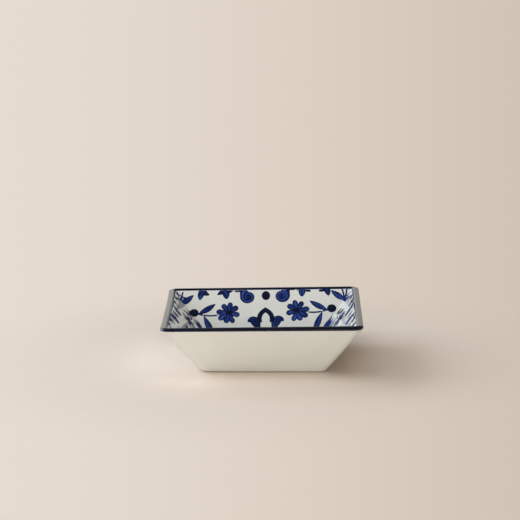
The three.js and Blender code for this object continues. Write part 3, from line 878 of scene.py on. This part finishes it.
def brushwork_tree():
    """Sweeps a flat round brush along each line, turns and trims the sheet, then lays it on the clay."""
    inputs = {
        "Lines": "NodeSocketGeometry",
        "Clay": "NodeSocketObject",
        "Coat": "NodeSocketFloat",
        "Brush Sides": "NodeSocketInt",
        "Sheet Turn": "NodeSocketVector",
        "Sheet Shift": "NodeSocketVector",
        "Lip Line": "NodeSocketFloat",
        "Side Line": "NodeSocketFloat",
        "Side Slope": "NodeSocketFloat",
        "Corner Spare": "NodeSocketFloat",
        "Wall Turn": "NodeSocketVector",
        "Wall Place": "NodeSocketVector",
        "Towards Clay": "NodeSocketVector",
        "Finish": "NodeSocketMaterial",
    }
    outputs = {"Print": "NodeSocketGeometry"}
    tree, given, result = new_group("brushwork", "GeometryNodeTree", inputs, outputs)

    def named(label):
        return add_node(tree, "GeometryNodeInputNamedAttribute", {"Name": label}).outputs["Attribute"]

    def keep(geometry, label, value):
        inputs = {"Geometry": geometry, "Name": label, "Value": value}
        return add_node(tree, "GeometryNodeStoreNamedAttribute", inputs).outputs["Geometry"]

    def parts(vector):
        return add_node(tree, "ShaderNodeSeparateXYZ", {0: vector}).outputs

    def move(geometry, place):
        inputs = {"Geometry": geometry, "Position": place}
        return add_node(tree, "GeometryNodeSetPosition", inputs).outputs[0]

    def carry(geometry, turn, shift):
        inputs = {"Geometry": geometry, "Translation": given.outputs[shift], "Rotation": given.outputs[turn]}
        return add_node(tree, "GeometryNodeTransform", inputs).outputs[0]

    place = add_node(tree, "GeometryNodeInputPosition").outputs[0]
    lines = add_node(tree, "GeometryNodeMeshToCurve", {"Mesh": given.outputs["Lines"]}).outputs[0]
    lines = add_node(tree, "GeometryNodeSetCurveNormal", {"Curve": lines}, mode="Z_UP").outputs[0]
    inputs = {"Resolution": given.outputs["Brush Sides"], "Radius": 1.0}
    tip = add_node(tree, "GeometryNodeCurvePrimitiveCircle", inputs).outputs[0]
    tip = keep(tip, "across", parts(place)[0])
    inputs = {"Curve": lines, "Profile Curve": tip, "Scale": named("width"), "Fill Caps": True}
    sheet = add_node(tree, "GeometryNodeCurveToMesh", inputs).outputs[0]
    swell = math_node(tree, "DIVIDE", parts(place)[2], named("width"))
    height = math_node(tree, "MULTIPLY_ADD", swell, given.outputs["Coat"], named("lift"))
    sheet = keep(sheet, "height", height)
    flat = add_node(tree, "ShaderNodeCombineXYZ", {0: parts(place)[0], 1: parts(place)[1]}).outputs[0]
    sheet = move(sheet, flat)
    sheet = carry(sheet, "Sheet Turn", "Sheet Shift")
    below_lip = math_node(tree, "MINIMUM", parts(place)[1], given.outputs["Lip Line"])
    lip_end = given.outputs["Side Line"]
    spare = given.outputs["Corner Spare"]
    side = math_node(tree, "MULTIPLY_ADD", below_lip, given.outputs["Side Slope"], spare)
    side = math_node(tree, "MINIMUM", math_node(tree, "ADD", side, lip_end), lip_end)
    inside = math_node(tree, "MAXIMUM", parts(place)[0], math_node(tree, "MULTIPLY", side, -1.0))
    inside = math_node(tree, "MINIMUM", inside, side)
    sheet = move(sheet, add_node(tree, "ShaderNodeCombineXYZ", {0: inside, 1: below_lip}).outputs[0])
    sheet = carry(sheet, "Wall Turn", "Wall Place")
    clay = add_node(tree, "GeometryNodeObjectInfo", {"Object": given.outputs["Clay"]}).outputs["Geometry"]
    towards = given.outputs["Towards Clay"]
    inputs = {"Target Geometry": clay, "Source Position": place, "Ray Direction": towards}
    ray = add_node(tree, "GeometryNodeRaycast", inputs)
    inputs = {0: ray.outputs["Hit Normal"], "Scale": named("height")}
    rise = add_node(tree, "ShaderNodeVectorMath", inputs, operation="SCALE").outputs[0]
    laid = add_node(tree, "ShaderNodeVectorMath", {0: ray.outputs["Hit Position"], 1: rise}).outputs[0]
    sheet = move(sheet, laid)
    inputs = {"Geometry": sheet, "Shade Smooth": False}
    sheet = add_node(tree, "GeometryNodeSetShadeSmooth", inputs).outputs[0]
    sheet = add_node(tree, "GeometryNodeRealizeInstances", {"Geometry": sheet}).outputs[0]
    inputs = {"Geometry": sheet, "Material": given.outputs["Finish"]}
    sheet = add_node(tree, "GeometryNodeSetMaterial", inputs).outputs[0]
    tree.links.new(sheet, result.inputs["Print"])
    return tree


def lay_print(name, strokes, tree, values):
    """The strokes swept and laid on the clay, as a plain mesh."""
    guides = stroke_guides(name + "_lines", strokes)
    modifier = guides.modifiers.new("brushwork", "NODES")
    modifier.node_group = tree
    for item in tree.interface.items_tree:
        if item.in_out == "INPUT" and item.name in values:
            modifier[item.identifier] = values[item.name]
    graph = bpy.context.evaluated_depsgraph_get()
    mesh = bpy.data.meshes.new_from_object(guides.evaluated_get(graph))
    mesh.name = name
    bpy.data.objects.remove(guides)
    return new_object(name, mesh)


# How a wall's print was laid: its turn, its shift, the drift of its middle motifs and the brush's weight
Sheet = namedtuple("Sheet", "turn shift drift weight")
SHEETS = {
    "back": Sheet(2.1, -0.9, 1.65, 1.06),
    "left": Sheet(-0.7, -0.3, 0.4, 0.75),
    "front": Sheet(0.5, 0.2, -0.3, 1.0),
    "right": Sheet(-0.9, 0.4, 0.6, 0.9),
}
WALL_MOTIFS = ("flower", "scroll", "inner_bud", "outer_bud", "corner_leaf")
PRINT_MIDDLE = 13.0  # depth below the lip of the point about which a print is turned


def wall_print_values(index, sheet, clay, finish):
    """What the brushwork tree needs to lay a print on one wall."""
    tilt = Matrix.Rotation(math.pi / 2 - LEAN, 4, "X")
    lip = Matrix.Translation(Vector((0.0, inner_half(HEIGHT), HEIGHT)) * MM)
    turn = Matrix.Rotation(math.pi / 2 * index, 4, "Z")
    onto_wall = turn @ lip @ tilt @ Matrix.Translation((0.0, 0.0, HOVER * MM))
    sheet_turn = math.radians(sheet.turn)
    swing = Matrix.Rotation(sheet_turn, 3, "Z") @ Vector((0.0, -PRINT_MIDDLE, 0.0))
    shift = Vector((sheet.shift, -PRINT_MIDDLE, 0.0)) - swing
    towards = onto_wall.to_3x3() @ Vector((0.0, 0.0, -1.0))
    return {
        "Clay": clay,
        "Coat": COAT * MM,
        "Brush Sides": STROKE_SIDES,
        "Sheet Turn": (0.0, 0.0, sheet_turn),
        "Sheet Shift": shift * MM,
        "Lip Line": -LIP_LINE * MM,
        "Side Line": inner_half(HEIGHT) * MM,
        "Side Slope": math.sin(LEAN),
        "Corner Spare": CORNER_SPARE * MM,
        "Wall Turn": onto_wall.to_euler("XYZ")[:],
        "Wall Place": onto_wall.translation[:],
        "Towards Clay": towards[:],
        "Finish": finish,
    }


def floor_print_values(clay, finish):
    """What the brushwork tree needs to lay a print on the floor."""
    still = (0.0, 0.0, 0.0)
    untrimmed = BASE_WIDTH * MM
    return {
        "Clay": clay,
        "Coat": COAT * MM,
        "Brush Sides": STROKE_SIDES,
        "Sheet Turn": still,
        "Sheet Shift": still,
        "Lip Line": untrimmed,
        "Side Line": untrimmed,
        "Side Slope": 0.0,
        "Corner Spare": 0.0,
        "Wall Turn": still,
        "Wall Place": (0.0, 0.0, (FLOOR_TOP + HOVER) * MM),
        "Towards Clay": (0.0, 0.0, -1.0),
        "Finish": finish,
    }


def print_nodes(place):
    """Names of the solids that one wall's print stands for."""
    halves = [f"{place}_{side}_{motif}" for side in ("left", "right") for motif in WALL_MOTIFS]
    return [f"{place}_bead", f"{place}_palmette", *halves]


def floor_nodes():
    """Names of the solids that the floor's print stands for."""
    pairs = [f"floor_{depth}_{side}_leaves" for depth in ("back", "front") for side in ("left", "right")]
    return ["floor_rosette", *pairs]


# Stage, light and camera

def make_floor(material):
    """A sheet of paper under the dish."""
    half = PAPER_HALF
    mesh = bpy.data.meshes.new("paper_floor")
    corners = [(-half, -half, 0), (half, -half, 0), (half, half, 0), (-half, half, 0)]
    mesh.from_pydata(corners, [], [(0, 1, 2, 3)])
    mesh.materials.append(material)
    floor = new_object("paper_floor", mesh)


# A soft panel of light: its direction round the dish and above the floor in degrees, its distance and size
# in metres, its power in watts, its colour, and whether gloss mirrors it
Panel = namedtuple("Panel", "name around above away wide tall power colour mirrored")
PANELS = (
    Panel("window", 158.0, 30.0, 1.5, 2.0, 0.9, 22.4, (0.879, 0.933, 1.0), True),
    Panel("front_room", 280.0, 12.0, 1.5, 1.6, 0.6, 10.35, (1.0, 0.955, 0.863), False),
    Panel("ceiling", 250.0, 68.0, 1.5, 1.6, 1.6, 11.1, (0.996, 1.0, 0.963), False),
    Panel("warm_lamp", 0.0, 60.0, 1.5, 1.0, 0.8, 1.0, (1.0, 0.55, 0.3), False),
)


def light_panel(panel):
    """A panel of light that faces the dish."""
    data = bpy.data.lights.new(panel.name, "AREA")
    data.shape = "RECTANGLE"
    data.size = panel.wide
    data.size_y = panel.tall
    data.energy = panel.power
    data.color = panel.colour
    lamp = new_object(panel.name, data)
    turn, rise = math.radians(panel.around), math.radians(panel.above)
    out = Vector((math.cos(rise) * math.cos(turn), math.cos(rise) * math.sin(turn), math.sin(rise)))
    lamp.location = out * panel.away
    lamp.rotation_euler = out.to_track_quat("Z", "Y").to_euler()
    lamp.visible_camera = False
    lamp.visible_glossy = panel.mirrored


def studio_world():
    """A neutral room for gloss to mirror and a backdrop with painted light falloff, lighter on the left and
    darker on the right, which give no light of their own.
    """
    world = bpy.data.worlds.new("studio")
    world.use_nodes = True
    tree = world.node_tree
    direction = add_node(tree, "ShaderNodeTexCoord").outputs["Generated"]
    sides = add_node(tree, "ShaderNodeSeparateXYZ", {0: direction}).outputs
    rays = add_node(tree, "ShaderNodeLightPath").outputs
    across = remap(tree, sides["X"], *ACROSS_SPAN)
    backwards = remap(tree, sides["Y"], -1.0, 1.0)
    low_down = remap(tree, sides["Z"], *UPWARD_SPAN)
    behind = math_node(tree, "MULTIPLY", backwards, low_down)
    room = blend_colour(tree, behind, ROOM_FRONT, blend_colour(tree, across, ROOM_LEFT, ROOM_RIGHT))
    # Painted light falloff: the backdrop is painted lighter on the left and darker on the right
    backdrop = blend_colour(tree, across, BACKDROP_LIT_LEFT, BACKDROP_SHADED_RIGHT)
    colour = blend_colour(tree, rays["Is Glossy Ray"], (0.0, 0.0, 0.0, 1.0), room)
    colour = blend_colour(tree, rays["Is Camera Ray"], colour, backdrop)
    tree.links.new(colour, tree.nodes["Background"].inputs["Color"])
    bpy.context.scene.world = world


def light_stage():
    """The panels round the dish and the room beyond them."""
    for panel in PANELS:
        light_panel(panel)
    studio_world()


def place_camera():
    """A long lens, low in front of the dish."""
    pitch, yaw, roll = (math.radians(angle) for angle in (CAMERA_PITCH, CAMERA_YAW, CAMERA_ROLL))
    back = Vector((math.sin(yaw) * math.cos(pitch), -math.cos(yaw) * math.cos(pitch), math.sin(pitch)))
    right = Vector((math.cos(yaw), math.sin(yaw), 0.0))
    up = back.cross(right)
    target = Vector((TARGET_ACROSS * math.cos(yaw), TARGET_ACROSS * math.sin(yaw), TARGET_HEIGHT))
    rolled_right = right * math.cos(roll) - up * math.sin(roll)
    rolled_up = right * math.sin(roll) + up * math.cos(roll)
    data = bpy.data.cameras.new("camera")
    data.sensor_width = SENSOR
    data.lens = SENSOR * FOCAL_PIXELS / FRAME_PIXELS
    data.clip_end = CAMERA_REACH * MM
    camera = new_object("camera", data)
    turned = Matrix((rolled_right, rolled_up, back)).transposed().to_4x4()
    camera.matrix_world = Matrix.Translation((target + back * CAMERA_DISTANCE) * MM) @ turned
    bpy.context.scene.camera = camera


# Making

def show(piece, nodes):
    """Sets a finished piece on the dish's one body in place of its solids."""
    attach(piece, "root")
    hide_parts(*nodes)


glaze_skin = glaze_skin_group()
brush_marks = brush_marks_group()
cobalt = brushed_cobalt(glaze_skin, brush_marks)
body = make_body(white_glaze(glaze_skin))
show(body, ["porcelain_body"])
show(make_lip_band(lip_navy(glaze_skin, brush_marks)), ["rim_band"])
brushwork = brushwork_tree()
for index, (place, sheet) in enumerate(SHEETS.items()):
    values = wall_print_values(index, sheet, body, cobalt)
    strokes = wall_strokes(sheet.drift, sheet.weight)
    wall_print = lay_print(place + "_print", strokes, brushwork, values)
    show(wall_print, print_nodes(place))
floor_values = floor_print_values(body, cobalt)
show(lay_print("floor_print", floor_strokes(), brushwork, floor_values), floor_nodes())
make_floor(paper_floor())
light_stage()
place_camera()
bpy.context.scene.view_settings.view_transform = "Standard"
